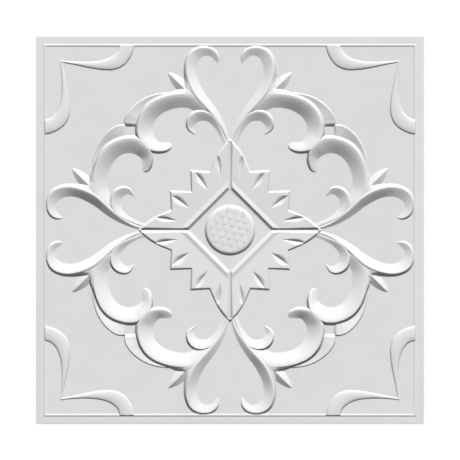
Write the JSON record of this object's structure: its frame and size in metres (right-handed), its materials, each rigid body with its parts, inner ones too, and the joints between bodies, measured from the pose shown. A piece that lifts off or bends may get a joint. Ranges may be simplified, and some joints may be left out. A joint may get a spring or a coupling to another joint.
{
  "type": "relief wall panel",
  "caption": "Square cast plaster wall panel with a flat back, a thin frame bead, corner horns, leafy scrolls and a pointed rosette around a round button.",
  "frame": {"origin": "centre of the flat back face", "axes": "+Z out of the decorated face, +Y towards the edge that is at the top on the wall, +X to its right"},
  "size_m": [0.5, 0.5, 0.02],
  "materials": {
    "plaster": "matte"
  },
  "bodies": {
    "root": {"wall_panel": "plaster"}
  },
  "joints": []
}
